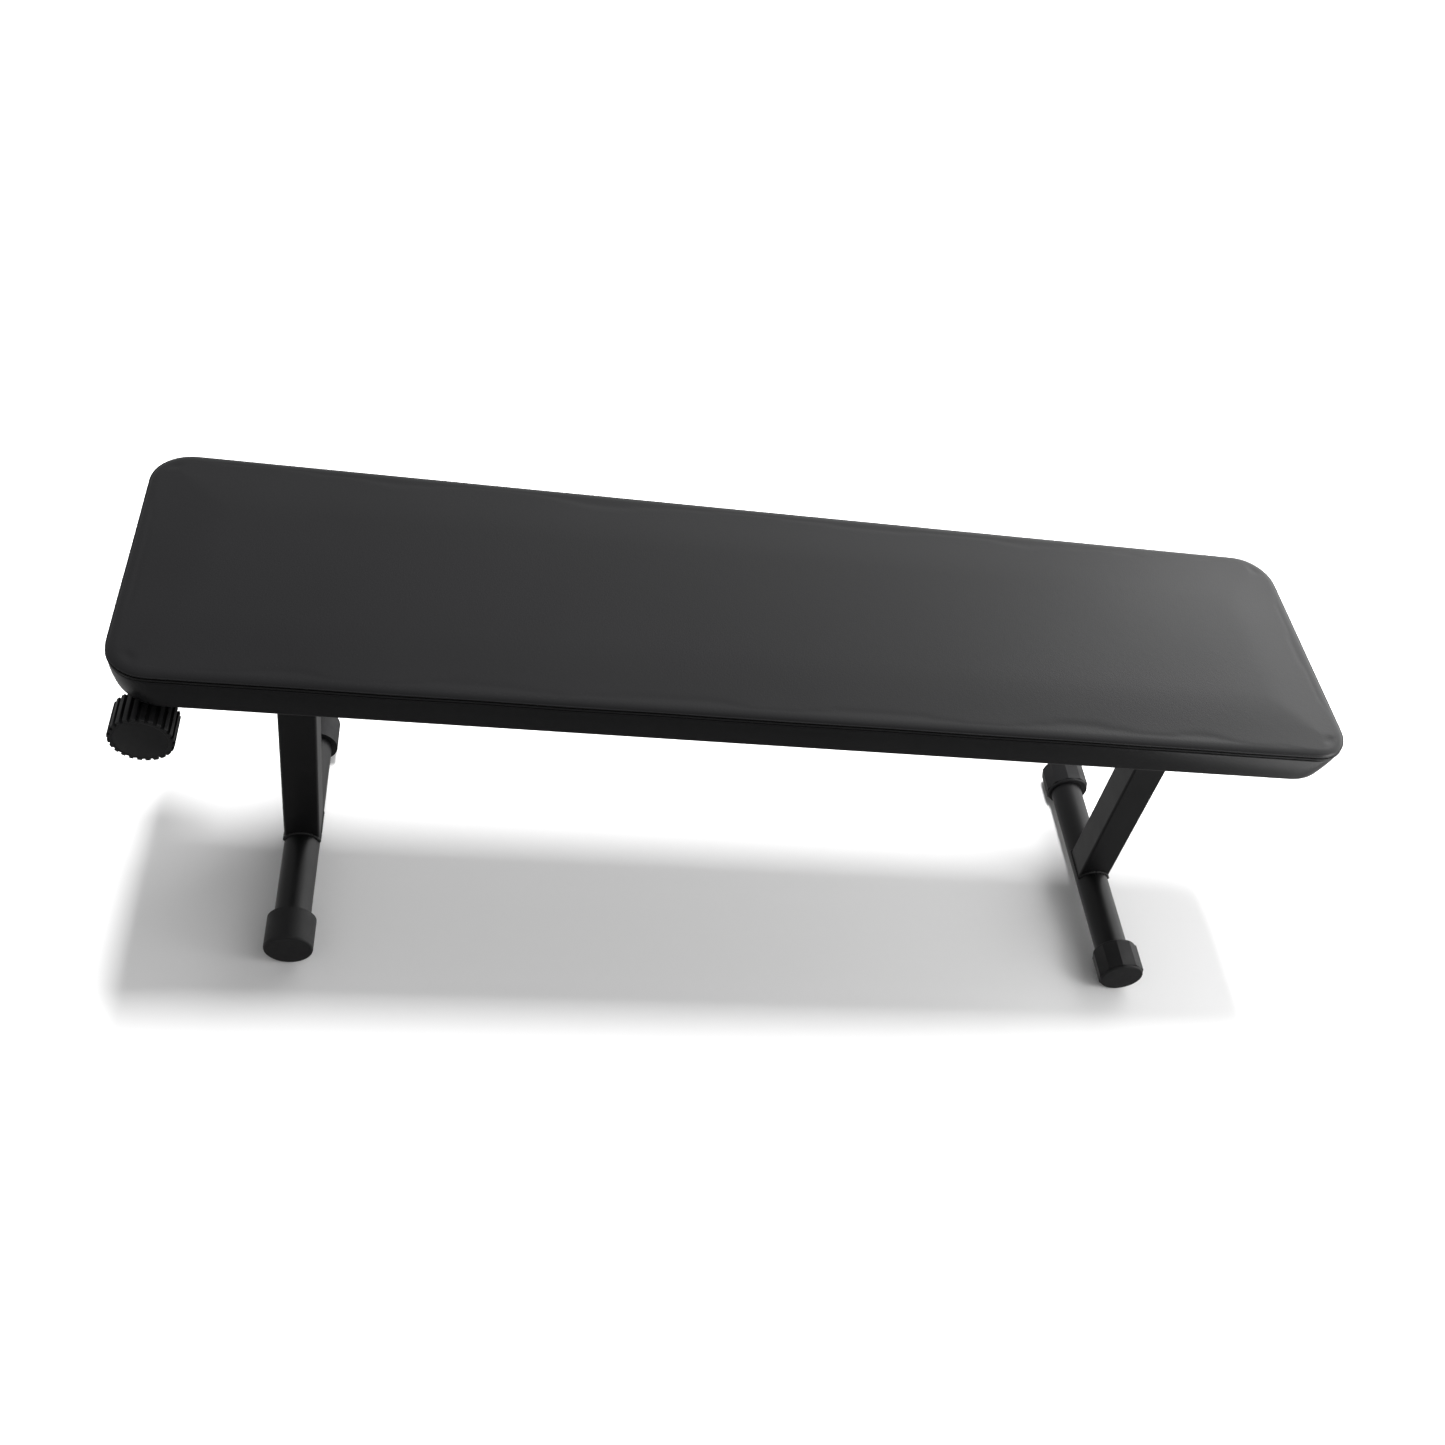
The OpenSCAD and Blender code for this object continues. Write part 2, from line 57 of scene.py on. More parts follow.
def linear(hex_colour):
    """An sRGB hex colour as linear RGBA."""
    channels = [int(hex_colour[i:i + 2], 16) / 255 for i in (1, 3, 5)]
    return [c / 12.92 if c <= 0.04045 else ((c + 0.055) / 1.055) ** 2.4 for c in channels] + [1.0]


def add_node(tree, kind, inputs=None, **settings):
    """Adds a node. inputs gives each socket a value, or the output that feeds it."""
    node = tree.nodes.new(kind)
    for name, value in settings.items():
        setattr(node, name, value)
    for socket, value in (inputs or {}).items():
        if isinstance(value, bpy.types.NodeSocket):
            tree.links.new(value, node.inputs[socket])
        else:
            node.inputs[socket].default_value = value
    return node


def mesh_object(name, vertices, faces, material, smooth=True):
    """A mesh object at the origin, with its place in its mesh."""
    mesh = bpy.data.meshes.new(name)
    mesh.from_pydata(vertices, [], faces)
    mesh.materials.append(material)
    if smooth:
        mesh.shade_smooth()
    obj = bpy.data.objects.new(name, mesh)
    bpy.context.scene.collection.objects.link(obj)
    return obj


def middle(node):
    """The centre of a CAD node's box."""
    low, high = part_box(node)
    return (low + high) / 2


def body_with(node):
    """The body that a CAD node belongs to."""
    return next(body for body, members in BODIES.items() if node in members)


# ---------------------------------------------------------------- materials

def new_material(name, colour, roughness, metallic=0.0, **sockets):
    """A material with a Principled shader and Object coordinates. Returns its parts."""
    material = bpy.data.materials.new(name)
    material.use_nodes = True
    tree = material.node_tree
    shader = tree.nodes["Principled BSDF"]
    shader.inputs["Base Color"].default_value = linear(colour)
    shader.inputs["Roughness"].default_value = roughness
    shader.inputs["Metallic"].default_value = metallic
    for socket, value in sockets.items():
        shader.inputs[socket.replace("_", " ")].default_value = value
    place = add_node(tree, "ShaderNodeTexCoord").outputs["Object"]
    return material, tree, shader, place


def finish_surface(tree, shader, relief, mask=None, colours=None, roughness=None):
    """Gives a surface its relief in layers, each as (height, depth in metres, strength), and
    lets a mask vary its colour and its roughness."""
    normal = {}
    for height, depth, strength in relief:
        raised = add_node(tree, "ShaderNodeBump", {
            "Height": height, "Distance": depth, "Strength": strength, **normal})
        normal = {"Normal": raised.outputs["Normal"]}
    tree.links.new(normal["Normal"], shader.inputs["Normal"])
    if colours:
        mix = add_node(tree, "ShaderNodeMix", {"Factor": mask}, data_type="RGBA")
        for socket, colour in zip((end for end in mix.inputs if end.type == "RGBA"), colours):
            socket.default_value = linear(colour)
        mixed = next(socket for socket in mix.outputs if socket.type == "RGBA")
        tree.links.new(mixed, shader.inputs["Base Color"])
    if roughness:
        low, high = roughness
        mapped = add_node(tree, "ShaderNodeMapRange", {
            "Value": mask, "From Min": 0.3, "From Max": 0.7, "To Min": low, "To Max": high})
        tree.links.new(mapped.outputs["Result"], shader.inputs["Roughness"])


def artificial_leather():
    """Vinyl-coated cloth, embossed with a fine pebble grain and calendered to a satin sheen.
    The real pebbles are about 0.8 mm wide, and are drawn 1.3 mm wide so that they show."""
    material, tree, shader, place = new_material(
        "vinyl_artificial_leather", "#0e0e0f", 0.30, Specular_IOR_Level=0.25)
    pebbles = add_node(tree, "ShaderNodeTexVoronoi", {
        "Vector": place, "Scale": 1 / (1.3 * MM), "Smoothness": 0.6}, feature="SMOOTH_F1")
    creases = add_node(tree, "ShaderNodeTexNoise", {
        "Vector": place, "Scale": 1 / (9 * MM), "Detail": 5.0, "Roughness": 0.55})
    hand_shine = add_node(tree, "ShaderNodeTexNoise", {
        "Vector": place, "Scale": 1 / (160 * MM), "Detail": 2.0, "Roughness": 0.55})
    relief = ((pebbles.outputs["Distance"], 0.10 * MM, 0.5),
              (creases.outputs["Fac"], 0.16 * MM, 0.35))
    finish_surface(tree, shader, relief, hand_shine.outputs["Fac"],
                   ("#0d0d0e", "#111112"), (0.28, 0.33))
    return material


def powder_coat():
    """Steel with a baked polyester powder coat: satin, with a fine orange peel."""
    material, tree, shader, place = new_material(
        "satin_powder_coat_on_steel", "#0c0c0d", 0.42, Specular_IOR_Level=0.3)
    peel = add_node(tree, "ShaderNodeTexNoise", {
        "Vector": place, "Scale": 1 / (1.6 * MM), "Detail": 2.0, "Roughness": 0.55})
    dust = add_node(tree, "ShaderNodeTexNoise", {
        "Vector": place, "Scale": 1 / (45 * MM), "Detail": 4.0, "Roughness": 0.55})
    relief = ((peel.outputs["Fac"], 0.05 * MM, 0.5),)
    finish_surface(tree, shader, relief, dust.outputs["Fac"], ("#0a0a0b", "#0e0e0f"), (0.36, 0.46))
    return material


def moulded(name, dark, light, rough, skin_size):
    """Injection-moulded black plastic or rubber, dull from the spark-eroded skin of its mould.
    The real skin is about 0.2 mm coarse, and is drawn at skin_size so that it shows."""
    material, tree, shader, place = new_material(name, dark, rough, Specular_IOR_Level=0.3)
    skin = add_node(tree, "ShaderNodeTexNoise", {
        "Vector": place, "Scale": 1 / skin_size, "Detail": 2.0, "Roughness": 0.55})
    scuff = add_node(tree, "ShaderNodeTexNoise", {
        "Vector": place, "Scale": 1 / (14 * MM), "Detail": 6.0, "Roughness": 0.65})
    relief = ((skin.outputs["Fac"], 0.04 * MM, 0.6),)
    finish_surface(tree, shader, relief, scuff.outputs["Fac"],
                   (dark, light), (rough - 0.06, rough + 0.08))
    return material


def plated_steel(name, dark, light, rough):
    """Turned or rolled steel with a thin bright or blackened skin, marked by handling. The
    real tool marks are about 0.2 mm apart, and are drawn 0.7 mm apart so that they show."""
    material, tree, shader, place = new_material(name, dark, rough, metallic=1.0)
    bloom = add_node(tree, "ShaderNodeTexNoise", {
        "Vector": place, "Scale": 1 / (6 * MM), "Detail": 5.0, "Roughness": 0.55})
    tooling = add_node(tree, "ShaderNodeTexNoise", {
        "Vector": place, "Scale": 1 / (0.7 * MM), "Detail": 1.0})
    relief = ((tooling.outputs["Fac"], 0.02 * MM, 0.4),)
    finish_surface(tree, shader, relief, bloom.outputs["Fac"],
                   (dark, light), (rough - 0.08, rough + 0.1))
    return material


def plywood():
    """Rotary-cut poplar ply: grain streaks 250 mm long and 17 mm apart on its faces, and
    layers 1.25 mm thick on its edge."""
    material, tree, shader, place = new_material("raw_poplar_plywood", "#b58a58", 0.7)
    stretched = add_node(tree, "ShaderNodeMapping", {"Vector": place, "Scale": (4.0, 60.0, 800.0)})
    grain = add_node(tree, "ShaderNodeTexNoise", {
        "Vector": stretched.outputs["Vector"], "Scale": 1.0, "Detail": 6.0}).outputs["Fac"]
    finish_surface(tree, shader, ((grain, 0.2 * MM, 0.5),), grain, ("#94693c", "#c9a06c"))
    return material


def non_woven_cloth():
    """Black spun-bonded dust cloth, matte, pressed in a grid of small diamonds. Its fibres are
    far thinner than the 1.2 mm tufts drawn for them."""
    material, tree, shader, place = new_material(
        "black_spunbond_dust_cloth", "#101011", 0.85, Specular_IOR_Level=0.2)
    tufts = add_node(tree, "ShaderNodeTexNoise", {
        "Vector": place, "Scale": 1 / (1.2 * MM), "Detail": 4.0, "Roughness": 0.55}).outputs["Fac"]
    turned = add_node(tree, "ShaderNodeMapping", {
        "Vector": place, "Rotation": (0.0, 0.0, math.radians(45)), "Scale": (1.0, 1.0, 0.0)})
    dots = add_node(tree, "ShaderNodeTexVoronoi", {
        "Vector": turned.outputs["Vector"], "Scale": 1 / (2.5 * MM), "Randomness": 0.0})
    relief = ((dots.outputs["Distance"], 0.15 * MM, 0.6), (tufts, 0.1 * MM, 0.6))
    finish_surface(tree, shader, relief, tufts, ("#0c0c0d", "#1a1a1b"))
    return material


LEATHER = artificial_leather()
POWDER = powder_coat()
RUBBER = moulded("moulded_rubber", "#101011", "#171718", 0.55, 0.9 * MM)
PLASTIC = moulded("moulded_polypropylene", "#0e0e0f", "#151516", 0.48, 0.7 * MM)
ZINC = plated_steel("zinc_plated_steel", "#a9abae", "#c6c8ca", 0.32)
BLACK_STEEL = plated_steel("black_oxide_steel", "#1a1a1b", "#2b2b2d", 0.4)
SLOT_MATERIALS = {
    "upholstery": LEATHER, "powder_coat": POWDER, "black_rubber": RUBBER,
    "black_plastic": PLASTIC, "zinc_steel": ZINC, "black_steel": BLACK_STEEL,
    "plywood": plywood(), "dust_cloth": non_woven_cloth(),
}


def dress_cad_nodes():
    """Gives every CAD node that stays the material of its slot in the record."""
    for part in frame["record"]["subparts"]:
        material = SLOT_MATERIALS.get(part["material_slot"])
        if material:
            for slot in NODES[part["node"]].material_slots:
                slot.material = material


# ---------------------------------------------------------------- geometry node trees

def tree_along_path(name, sizes):
    """An empty Geometry Nodes tree with a path and named sizes as inputs."""
    tree = bpy.data.node_groups.new(name, "GeometryNodeTree")
    tree.interface.new_socket("Path", in_out="INPUT", socket_type="NodeSocketGeometry")
    for size in sizes:
        tree.interface.new_socket(size, in_out="INPUT", socket_type="NodeSocketFloat")
    tree.interface.new_socket("Geometry", in_out="OUTPUT", socket_type="NodeSocketGeometry")
    return tree, add_node(tree, "NodeGroupInput").outputs


def end_tree(tree, instances, material):
    """Realises the instances and gives them their material."""
    real = add_node(tree, "GeometryNodeRealizeInstances", {"Geometry": instances})
    smooth = add_node(tree, "GeometryNodeSetShadeSmooth", {"Geometry": real.outputs["Geometry"]})
    coated = add_node(tree, "GeometryNodeSetMaterial", {
        "Geometry": smooth.outputs["Geometry"], "Material": material})
    add_node(tree, "NodeGroupOutput", {"Geometry": coated.outputs["Geometry"]})


def welt_tree():
    """The welt sewn into the seam: a cord in a strip of the cover, drawn round the path."""
    tree, inputs = tree_along_path("welt_cord", ("Radius",))
    ring = add_node(tree, "GeometryNodeCurvePrimitiveCircle", {
        "Resolution": 10, "Radius": inputs["Radius"]})
    cord = add_node(tree, "GeometryNodeCurveToMesh", {
        "Curve": inputs["Path"], "Profile Curve": ring.outputs["Curve"], "Fill Caps": True})
    end_tree(tree, cord.outputs["Mesh"], LEATHER)
    return tree


def weld_tree():
    """A weld bead: overlapping ripples, each a little different in size."""
    tree, inputs = tree_along_path("weld_bead", ("Step", "Width", "Thickness", "Unevenness"))
    spots = add_node(tree, "GeometryNodeCurveToPoints", {
        "Curve": inputs["Path"], "Length": inputs["Step"]}, mode="LENGTH").outputs
    ripple = add_node(tree, "GeometryNodeMeshUVSphere", {"Segments": 12, "Rings": 8, "Radius": 0.5})
    size = add_node(tree, "ShaderNodeCombineXYZ", {
        "X": inputs["Width"], "Y": inputs["Width"], "Z": inputs["Thickness"]})
    least = add_node(tree, "ShaderNodeMath", {0: 1.0, 1: inputs["Unevenness"]},
                     operation="SUBTRACT")
    most = add_node(tree, "ShaderNodeMath", {0: 1.0, 1: inputs["Unevenness"]}, operation="ADD")
    vary = add_node(tree, "FunctionNodeRandomValue", data_type="FLOAT")
    floats = [socket for socket in vary.inputs if socket.type == "VALUE" and socket.enabled]
    tree.links.new(least.outputs[0], floats[0])
    tree.links.new(most.outputs[0], floats[1])
    vary.inputs["Seed"].default_value = 7
    chance = next(socket for socket in vary.outputs if socket.type == "VALUE" and socket.enabled)
    scaled = add_node(tree, "ShaderNodeVectorMath", {
        0: size.outputs["Vector"], "Scale": chance}, operation="SCALE")
    placed = add_node(tree, "GeometryNodeInstanceOnPoints", {
        "Points": spots["Points"], "Instance": ripple.outputs["Mesh"],
        "Rotation": spots["Rotation"], "Scale": scaled.outputs["Vector"]})
    end_tree(tree, placed.outputs["Instances"], POWDER)
    return tree


def grow_along(name, paths, tree, **sizes):
    """Runs a tree along a set of closed or open paths, and keeps the result as a plain mesh."""
    curve = bpy.data.curves.new(name + "_path", "CURVE")
    curve.dimensions = "3D"
    for points, closed in paths:
        spline = curve.splines.new("POLY")
        spline.points.add(len(points) - 1)
        for spot, point in zip(spline.points, points):
            spot.co = (*point, 1.0)
        spline.use_cyclic_u = closed
    carrier = bpy.data.objects.new(name + "_path", curve)
    bpy.context.scene.collection.objects.link(carrier)
    modifier = carrier.modifiers.new("grow", "NODES")
    modifier.node_group = tree
    for socket in tree.interface.items_tree:
        if socket.in_out == "INPUT" and socket.name in sizes:
            modifier[socket.identifier] = sizes[socket.name]
    evaluated = carrier.evaluated_get(bpy.context.evaluated_depsgraph_get())
    mesh = bpy.data.meshes.new_from_object(evaluated)
    bpy.data.objects.remove(carrier)
    mesh.name = name
    obj = bpy.data.objects.new(name, mesh)
    bpy.context.scene.collection.objects.link(obj)
    return obj


# ---------------------------------------------------------------- pad

PAD_LOW, PAD_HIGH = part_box("pad_cover")
PAD_HALF_L = (PAD_HIGH.x - PAD_LOW.x) / 2
PAD_HALF_W = (PAD_HIGH.y - PAD_LOW.y) / 2
SEAM_CORNER, HEM_CORNER = 37 * MM, 50 * MM
PAD_CROWN = 9 * MM
SEAM_Z = PAD_HIGH.z - PAD_CROWN
SHOULDER_W, SHOULDER_H, SHOULDER_POWER = 9.0 * MM, 4.4 * MM, 2.1
LONG_STEPS, SHORT_STEPS = 172, 44
SWELL_CAP, SWELL_REACH, SWELL_FRAMES = 2.2 * MM, 75 * MM, 20
WELT_RADIUS, WELT_INSET, WELT_HEIGHT = 1.1 * MM, 0.3 * MM, 32.9 * MM
SEAM_SWAY, SWAY_IN, SWAY_UP = 0.5 * MM, 0.6, 0.7
PLEAT_DEPTH, PLEATS_ROUND = 0.7 * MM, 36
CORNER_CHANGE_POWER = 1.3

# Insets from the pad's edge over the cushion's top, from the flat of the top to the rolled edge
TOP_INSETS = [inset * MM for inset in (
    27, 22, 18, 14.5, 11.8, 9.8, 8.2, 6.8, 5.4, 4.1, 2.9, 1.8, 0.9, 0.2)]
# The rolled edge, the groove for the welt, the side band and the hem, as (inset, height above
# the pad's underside), downwards
SIDE_PROFILE = [(inset * MM, height * MM) for inset, height in (
    (-0.3, 37.0), (-0.5, 36.2), (-0.3, 35.5), (0.5, 35.1), (2.4, 35.0), (3.0, 33.0), (2.4, 30.8),
    (0.5, 30.6), (-0.2, 30.3), (-0.45, 29.6), (-0.5, 27.6), (-0.7, 23.0), (-0.8, 17.0),
    (-0.7, 11.0), (-0.5, 6.0), (-0.45, 3.0), (-0.4, 1.2), (0.1, 0.1), (1.4, -0.3), (4.5, -0.3),
    (11.0, -0.3), (18.0, -0.3), (23.6, -0.2), (24.2, 0.4), (25.5, 1.6))]
# Which of those rings end the groove, start the pinned hem and are pleated at the corners
GROOVE_RINGS, PINNED_HEM, PLEATED = 9, 14, range(19, 23)


def side_point(half_along, half_across, r, s):
    """A point and its outward normal on one side of an outline with corner radius r, s metres
    past the middle of the corner where the side starts. The side lies at -half_across."""
    arc = math.pi / 4 * r
    straight = 2 * (half_along - r)
    if s < arc:
        angle, cx = math.radians(225) + s / r, r - half_along
    elif s <= arc + straight:
        return Vector((r - half_along + s - arc, -half_across)), Vector((0, -1))
    else:
        angle, cx = math.radians(270) + (s - arc - straight) / r, half_along - r
    normal = Vector((math.cos(angle), math.sin(angle)))
    return Vector((cx, r - half_across)) + r * normal, normal


def pad_outline(corner):
    """Points and outward normals round the pad, in four sides that start in mid-corner."""
    points = []
    for side in range(4):
        along, across = ((PAD_HALF_L, PAD_HALF_W), (PAD_HALF_W, PAD_HALF_L))[side % 2]
        steps = (LONG_STEPS, SHORT_STEPS)[side % 2]
        length = math.pi / 2 * corner + 2 * (along - corner)
        turn = Matrix.Rotation(side * math.pi / 2, 2)
        for i in range(steps):
            point, normal = side_point(along, across, corner, length * i / steps)
            points.append((turn @ point, turn @ normal))
    return points


def shoulder(inset):
    """Height of the top above the seam near the pad's edge: a quarter of a superellipse."""
    away = max(0.0, 1 - inset / SHOULDER_W)
    return SHOULDER_H * (1 - away ** SHOULDER_POWER) ** (1 / SHOULDER_POWER)


def crown(x, y):
    """Extra height towards the middle of the pad, before it swells."""
    rest = PAD_CROWN - SHOULDER_H - SWELL_CAP
    return rest * (1 - (abs(y) / PAD_HALF_W) ** 2) * (1 - (abs(x) / PAD_HALF_L) ** 8)


def seam_wander(x, y):
    """Small unevenness of a hand-pulled seam."""
    return SEAM_SWAY * noise.noise(Vector((x, y, 0.3)) * 13)


def pad_rings(seam_line, hem_line):
    """Rings of vertices from the flat of the top, over the edge and under the hem. The corners
    are tighter at the seam than at the hem."""
    rings = []
    for inset in TOP_INSETS:
        ring = []
        for point, normal in seam_line:
            flat = point - normal * inset
            ring.append((flat.x, flat.y, SEAM_Z + shoulder(inset) + crown(flat.x, flat.y)))
        rings.append(ring)
    for index, (inset, height) in enumerate(SIDE_PROFILE):
        drop = max(0.0, 1 - height / WELT_HEIGHT) ** CORNER_CHANGE_POWER
        ring = []
        for (point, normal), (low_point, low_normal) in zip(seam_line, hem_line):
            point = point.lerp(low_point, drop)
            normal = normal.lerp(low_normal, drop).normalized()
            sway = seam_wander(point.x, point.y) if index <= GROOVE_RINGS else 0.0
            flat = point - normal * (inset + SWAY_IN * sway)
            pleat = 0.0
            if index in PLEATED and min(abs(normal.x), abs(normal.y)) > 0.05:
                wave = math.sin(PLEATS_ROUND * math.atan2(normal.y, normal.x))
                pleat = PLEAT_DEPTH * (0.5 + 0.5 * wave)
            ring.append((flat.x, flat.y, PAD_LOW.z + height + SWAY_UP * sway - pleat))
        rings.append(ring)
    return rings


def coons_grid(ring):
    """Fills a ring of four sides with an even grid. Returns rows of points."""
    u_steps, v_steps = LONG_STEPS, SHORT_STEPS
    total = len(ring)
    bottom = [Vector(ring[i]) for i in range(u_steps + 1)]
    right = [Vector(ring[u_steps + j]) for j in range(v_steps + 1)]
    top = [Vector(ring[2 * u_steps + v_steps - i]) for i in range(u_steps + 1)]
    left = [Vector(ring[(total - j) % total]) for j in range(v_steps + 1)]
    rows = []
    for j in range(v_steps + 1):
        v = j / v_steps
        row = []
        for i in range(u_steps + 1):
            u = i / u_steps
            across = bottom[i].lerp(top[i], v) + left[j].lerp(right[j], u)
            corners = bottom[0].lerp(bottom[-1], u).lerp(top[0].lerp(top[-1], u), v)
            row.append(across - corners)
        rows.append(row)
    return rows


def cushion_mesh(seam_line, hem_line):
    """The whole pad as one closed mesh: gridded top, rings over the side, strips underneath."""
    rings = pad_rings(seam_line, hem_line)
    count = len(seam_line)
    vertices = [vertex for ring in rings for vertex in ring]
    faces = []
    for k in range(len(rings) - 1):
        for i in range(count):
            j = (i + 1) % count
            faces.append((k * count + i, (k + 1) * count + i, (k + 1) * count + j, k * count + j))
    u_steps, v_steps = LONG_STEPS, SHORT_STEPS
    index = {}
    rows = coons_grid(rings[0])
    for j in range(v_steps + 1):
        for i in range(u_steps + 1):
            if j == 0:
                index[i, j] = i
            elif i == u_steps:
                index[i, j] = u_steps + j
            elif j == v_steps:
                index[i, j] = 2 * u_steps + v_steps - i
            elif i == 0:
                index[i, j] = count - j
            else:
                point = rows[j][i]
                index[i, j] = len(vertices)
                height = SEAM_Z + SHOULDER_H + crown(point.x, point.y)
                vertices.append((point.x, point.y, height))
    for j in range(v_steps):
        for i in range(u_steps):
            faces.append((index[i, j], index[i + 1, j], index[i + 1, j + 1], index[i, j + 1]))
    last = (len(rings) - 1) * count
    mirror = 2 * u_steps + v_steps
    for i in range(-v_steps // 2, u_steps + v_steps // 2):
        strip = (i % count, (mirror - i) % count, (mirror - i - 1) % count, (i + 1) % count)
        faces.append(tuple(last + corner for corner in dict.fromkeys(strip)))
    return vertices, faces


def swell_room(x, y):
    """How far the cover may swell at a place: nothing at the seam, most in the middle."""
    to_edge = min(PAD_HALF_L - abs(x), PAD_HALF_W - abs(y), SWELL_REACH)
    part = max(0.0, to_edge) / SWELL_REACH
    return SWELL_CAP * part * part * (3 - 2 * part)


def swell(obj, count):
    """Lets the cover swell over its foam as cloth. Its seams and hem are held, and every point
    keeps within its room."""
    rest = [vertex.co.copy() for vertex in obj.data.vertices]
    held = obj.vertex_groups.new(name="held")
    for ring in range(len(SIDE_PROFILE)):
        grip = 1.0 if ring <= GROOVE_RINGS or ring >= PINNED_HEM else 0.5
        first = (len(TOP_INSETS) + ring) * count
        held.add(list(range(first, first + count)), grip, "REPLACE")
    cloth = obj.modifiers.new("swell", "CLOTH")
    cloth.settings.quality = 6
    cloth.settings.mass = 0.4
    cloth.settings.tension_stiffness = 40
    cloth.settings.compression_stiffness = 40
    cloth.settings.bending_stiffness = 15
    cloth.settings.use_pressure = True
    cloth.settings.uniform_pressure_force = 4
    cloth.settings.effector_weights.gravity = 0
    cloth.settings.vertex_group_mass = "held"
    scene = bpy.context.scene
    cloth.point_cache.frame_start, cloth.point_cache.frame_end = 1, SWELL_FRAMES
    for step in range(1, SWELL_FRAMES + 1):
        scene.frame_set(step)
    evaluated = obj.evaluated_get(bpy.context.evaluated_depsgraph_get())
    moved = [vertex.co.copy() for vertex in evaluated.data.vertices]
    obj.modifiers.remove(cloth)
    scene.frame_set(1)
    for vertex, before, after in zip(obj.data.vertices, rest, moved):
        room = swell_room(before.x, before.y)
        rise = room * math.tanh(3 * (after.z - before.z) / room) if room > 0 else 0.0
        vertex.co = before + Vector((0, 0, rise))
    obj.vertex_groups.clear()


def make_pad():
    """The padded board: cushion with its cover, and the welt in the seam round it."""
    seam_line, hem_line = pad_outline(SEAM_CORNER), pad_outline(HEM_CORNER)
    vertices, faces = cushion_mesh(seam_line, hem_line)
    cushion = mesh_object("pad_cushion", vertices, faces, LEATHER)
    swell(cushion, len(seam_line))
    smoothing = cushion.modifiers.new("smooth", "SUBSURF")
    smoothing.levels = smoothing.render_levels = 1
    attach(cushion, "bench_frame")
    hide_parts("pad_cover", "pad_foam")

    path = []
    for point, normal in seam_line:
        sway = seam_wander(point.x, point.y)
        flat = point - normal * (WELT_INSET + SWAY_IN * sway)
        path.append((flat.x, flat.y, PAD_LOW.z + WELT_HEIGHT + SWAY_UP * sway))
    welt = grow_along("pad_welt", [(path, True)], welt_tree(), Radius=WELT_RADIUS)
    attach(welt, "bench_frame")


# ---------------------------------------------------------------- welds

WELD_TREE = weld_tree()
TUBE_R = (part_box("head_foot_tube")[1].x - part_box("head_foot_tube")[0].x) / 2
SADDLE = 6 * MM
BEAD_OUT, RAIL_BEAD_SHORT, BRACKET_BEAD_HALF = 0.4 * MM, 3 * MM, 22 * MM
WELD_SIZES = {"Step": 1.5 * MM, "Width": 4.4 * MM, "Thickness": 3.0 * MM, "Unevenness": 0.1}


def saddle_path(stand_off=0.3 * MM, steps=24):
    """Closed loop round a square tube, along +Z, that stands on a round tube along Y."""
    reach = TUBE_R + stand_off
    low = math.asin((SADDLE + stand_off) / reach)
    arc = [low + (math.pi - 2 * low) * i / steps for i in range(steps + 1)]
    front = [Vector((reach * math.cos(a), -reach, reach * math.sin(a))) for a in arc]
    rear = [Vector((reach * math.cos(a), reach, reach * math.sin(a))) for a in reversed(arc)]
    return front + rear


def make_leg_welds(leg):
    """The bead where a leg stands on its foot, turned to the leg's lean."""
    foot = middle(leg + "_foot_tube")
    pivot = Vector(JOINTS[leg + "_leg_fold"]["pos_m"])
    up = (pivot - foot).normalized()
    lean = Matrix.Rotation(math.atan2(up.x, up.z), 3, "Y")
    path = [foot + lean @ point for point in saddle_path()]
    bead = grow_along(leg + "_leg_weld_bead", [(path, True)], WELD_TREE, **WELD_SIZES)
    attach(bead, leg + "_leg")
    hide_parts(leg + "_leg_welds")


def make_frame_welds():
    """Beads that join the rails, the brackets and the cross tube to the beam."""
    beam_low, beam_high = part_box("main_beam")
    across = (beam_low.y + RAIL_BEAD_SHORT, beam_high.y - RAIL_BEAD_SHORT)
    paths = []
    for rail in ("head_rail", "mid_rail", "tail_rail"):
        low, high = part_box(rail)
        for x in (low.x, high.x):
            paths.append(([Vector((x, y, beam_high.z + BEAD_OUT)) for y in across], False))
    for bracket in ("head_bracket", "tail_bracket"):
        centre = middle(bracket).x
        along = (centre - BRACKET_BEAD_HALF, centre + BRACKET_BEAD_HALF)
        for y in (beam_low.y, beam_high.y):
            paths.append(([Vector((x, y, beam_low.z + BEAD_OUT)) for x in along], False))
    cross = middle("head_cross_tube")
    towards_beam = Matrix.Rotation(math.pi / 2, 3, "Y")
    paths.append(([cross + towards_beam @ point for point in saddle_path()], True))
    beads = grow_along("frame_weld_beads", paths, WELD_TREE, **WELD_SIZES)
    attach(beads, "bench_frame")
    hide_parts("frame_welds")


# ---------------------------------------------------------------- moulded and turned parts

SAME_POINT = 0.002 * MM
FLAT_ANGLE, EDGE_ANGLE = math.radians(1), math.radians(24)
SOFTENED = {
    "front_roller": (0.35 * MM, "black_plastic"), "rear_roller": (0.35 * MM, "black_plastic"),
    "front_roller_disc": (0.3 * MM, "black_plastic"),
    "rear_roller_disc": (0.3 * MM, "black_plastic"),
    "front_level_cap": (0.6 * MM, "black_rubber"), "rear_level_cap": (0.6 * MM, "black_rubber"),
}


